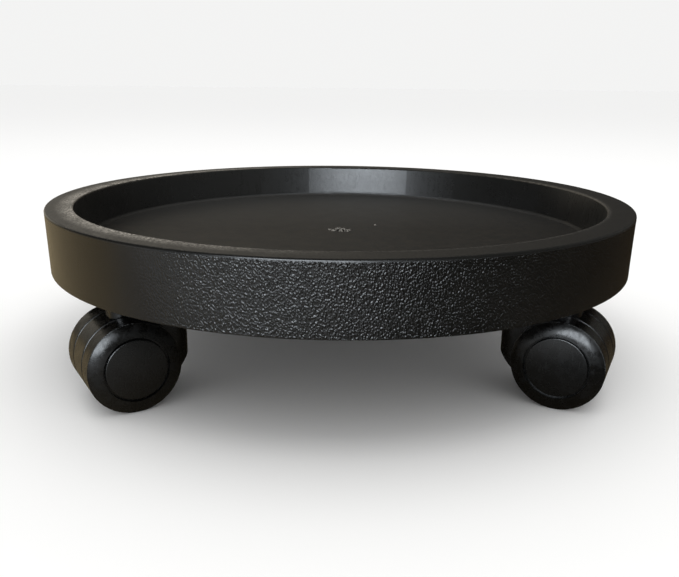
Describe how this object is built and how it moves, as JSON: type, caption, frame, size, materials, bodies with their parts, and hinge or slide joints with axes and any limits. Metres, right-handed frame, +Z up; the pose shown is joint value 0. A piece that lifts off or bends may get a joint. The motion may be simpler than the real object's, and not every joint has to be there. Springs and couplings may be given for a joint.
{
  "type": "plant pot caddy",
  "caption": "Round dished tray with a deep skirt on swivelling twin-wheel casters, for rolling a heavy plant pot about.",
  "frame": {"origin": "on the floor under the middle of the tray", "axes": "+Z up, +X to the right and -Y towards the front, with the casters on the diagonals"},
  "size_m": [0.3, 0.3, 0.078],
  "materials": {
    "tray_plastic": "leather-grained moulded polypropylene",
    "caster_plastic": "moulded nylon",
    "wheel_plastic": "satin moulded polypropylene",
    "cap_plastic": "satin moulded polypropylene",
    "zinc_steel": "zinc plated",
    "spring_steel": "oiled spring steel"
  },
  "bodies": {
    "tray": {"tray": "tray_plastic", "stem_front_left": "zinc_steel", "grip_ring_front_left": "spring_steel", "stem_front_right": "zinc_steel", "grip_ring_front_right": "spring_steel", "stem_back_left": "zinc_steel", "grip_ring_back_left": "spring_steel", "stem_back_right": "zinc_steel", "grip_ring_back_right": "spring_steel"},
    "caster_front_left": {"caster_body_front_left": "caster_plastic", "axle_front_left": "zinc_steel", "axle_clip_front_left_a": "spring_steel", "axle_clip_front_left_b": "spring_steel"},
    "wheel_front_left_a": {"wheel_front_left_a": "wheel_plastic", "cap_front_left_a": "cap_plastic"},
    "wheel_front_left_b": {"wheel_front_left_b": "wheel_plastic", "cap_front_left_b": "cap_plastic"},
    "caster_front_right": {"caster_body_front_right": "caster_plastic", "axle_front_right": "zinc_steel", "axle_clip_front_right_a": "spring_steel", "axle_clip_front_right_b": "spring_steel"},
    "wheel_front_right_a": {"wheel_front_right_a": "wheel_plastic", "cap_front_right_a": "cap_plastic"},
    "wheel_front_right_b": {"wheel_front_right_b": "wheel_plastic", "cap_front_right_b": "cap_plastic"},
    "caster_back_left": {"caster_body_back_left": "caster_plastic", "axle_back_left": "zinc_steel", "axle_clip_back_left_a": "spring_steel", "axle_clip_back_left_b": "spring_steel"},
    "wheel_back_left_a": {"wheel_back_left_a": "wheel_plastic", "cap_back_left_a": "cap_plastic"},
    "wheel_back_left_b": {"wheel_back_left_b": "wheel_plastic", "cap_back_left_b": "cap_plastic"},
    "caster_back_right": {"caster_body_back_right": "caster_plastic", "axle_back_right": "zinc_steel", "axle_clip_back_right_a": "spring_steel", "axle_clip_back_right_b": "spring_steel"},
    "wheel_back_right_a": {"wheel_back_right_a": "wheel_plastic", "cap_back_right_a": "cap_plastic"},
    "wheel_back_right_b": {"wheel_back_right_b": "wheel_plastic", "cap_back_right_b": "cap_plastic"}
  },
  "joints": [
    {"name": "swivel_front_left", "type": "hinge", "parent": "tray", "child": "caster_front_left", "pos_m": [-0.0792, -0.0792, 0.0459], "axis": [0, 0, 1], "continuous": true},
    {"name": "roll_front_left_a", "type": "hinge", "parent": "caster_front_left", "child": "wheel_front_left_a", "pos_m": [-0.09789, -0.08982, 0.02], "axis": [0.4939, -0.8695, 0], "continuous": true},
    {"name": "roll_front_left_b", "type": "hinge", "parent": "caster_front_left", "child": "wheel_front_left_b", "pos_m": [-0.09789, -0.08982, 0.02], "axis": [0.4939, -0.8695, 0], "continuous": true},
    {"name": "swivel_front_right", "type": "hinge", "parent": "tray", "child": "caster_front_right", "pos_m": [0.0792, -0.0792, 0.0459], "axis": [0, 0, 1], "continuous": true},
    {"name": "roll_front_right_a", "type": "hinge", "parent": "caster_front_right", "child": "wheel_front_right_a", "pos_m": [0.09802, -0.08959, 0.02], "axis": [0.4833, 0.8755, 0], "continuous": true},
    {"name": "roll_front_right_b", "type": "hinge", "parent": "caster_front_right", "child": "wheel_front_right_b", "pos_m": [0.09802, -0.08959, 0.02], "axis": [0.4833, 0.8755, 0], "continuous": true},
    {"name": "swivel_back_left", "type": "hinge", "parent": "tray", "child": "caster_back_left", "pos_m": [-0.0792, 0.0792, 0.0459], "axis": [0, 0, 1], "continuous": true},
    {"name": "roll_back_left_a", "type": "hinge", "parent": "caster_back_left", "child": "wheel_back_left_a", "pos_m": [-0.09913, 0.08725, 0.02], "axis": [-0.3746, -0.9272, 0], "continuous": true},
    {"name": "roll_back_left_b", "type": "hinge", "parent": "caster_back_left", "child": "wheel_back_left_b", "pos_m": [-0.09913, 0.08725, 0.02], "axis": [-0.3746, -0.9272, 0], "continuous": true},
    {"name": "swivel_back_right", "type": "hinge", "parent": "tray", "child": "caster_back_right", "pos_m": [0.0792, 0.0792, 0.0459], "axis": [0, 0, 1], "continuous": true},
    {"name": "roll_back_right_a", "type": "hinge", "parent": "caster_back_right", "child": "wheel_back_right_a", "pos_m": [0.08929, 0.09818, 0.02], "axis": [-0.8829, 0.4695, 0], "continuous": true},
    {"name": "roll_back_right_b", "type": "hinge", "parent": "caster_back_right", "child": "wheel_back_right_b", "pos_m": [0.08929, 0.09818, 0.02], "axis": [-0.8829, 0.4695, 0], "continuous": true}
  ]
}
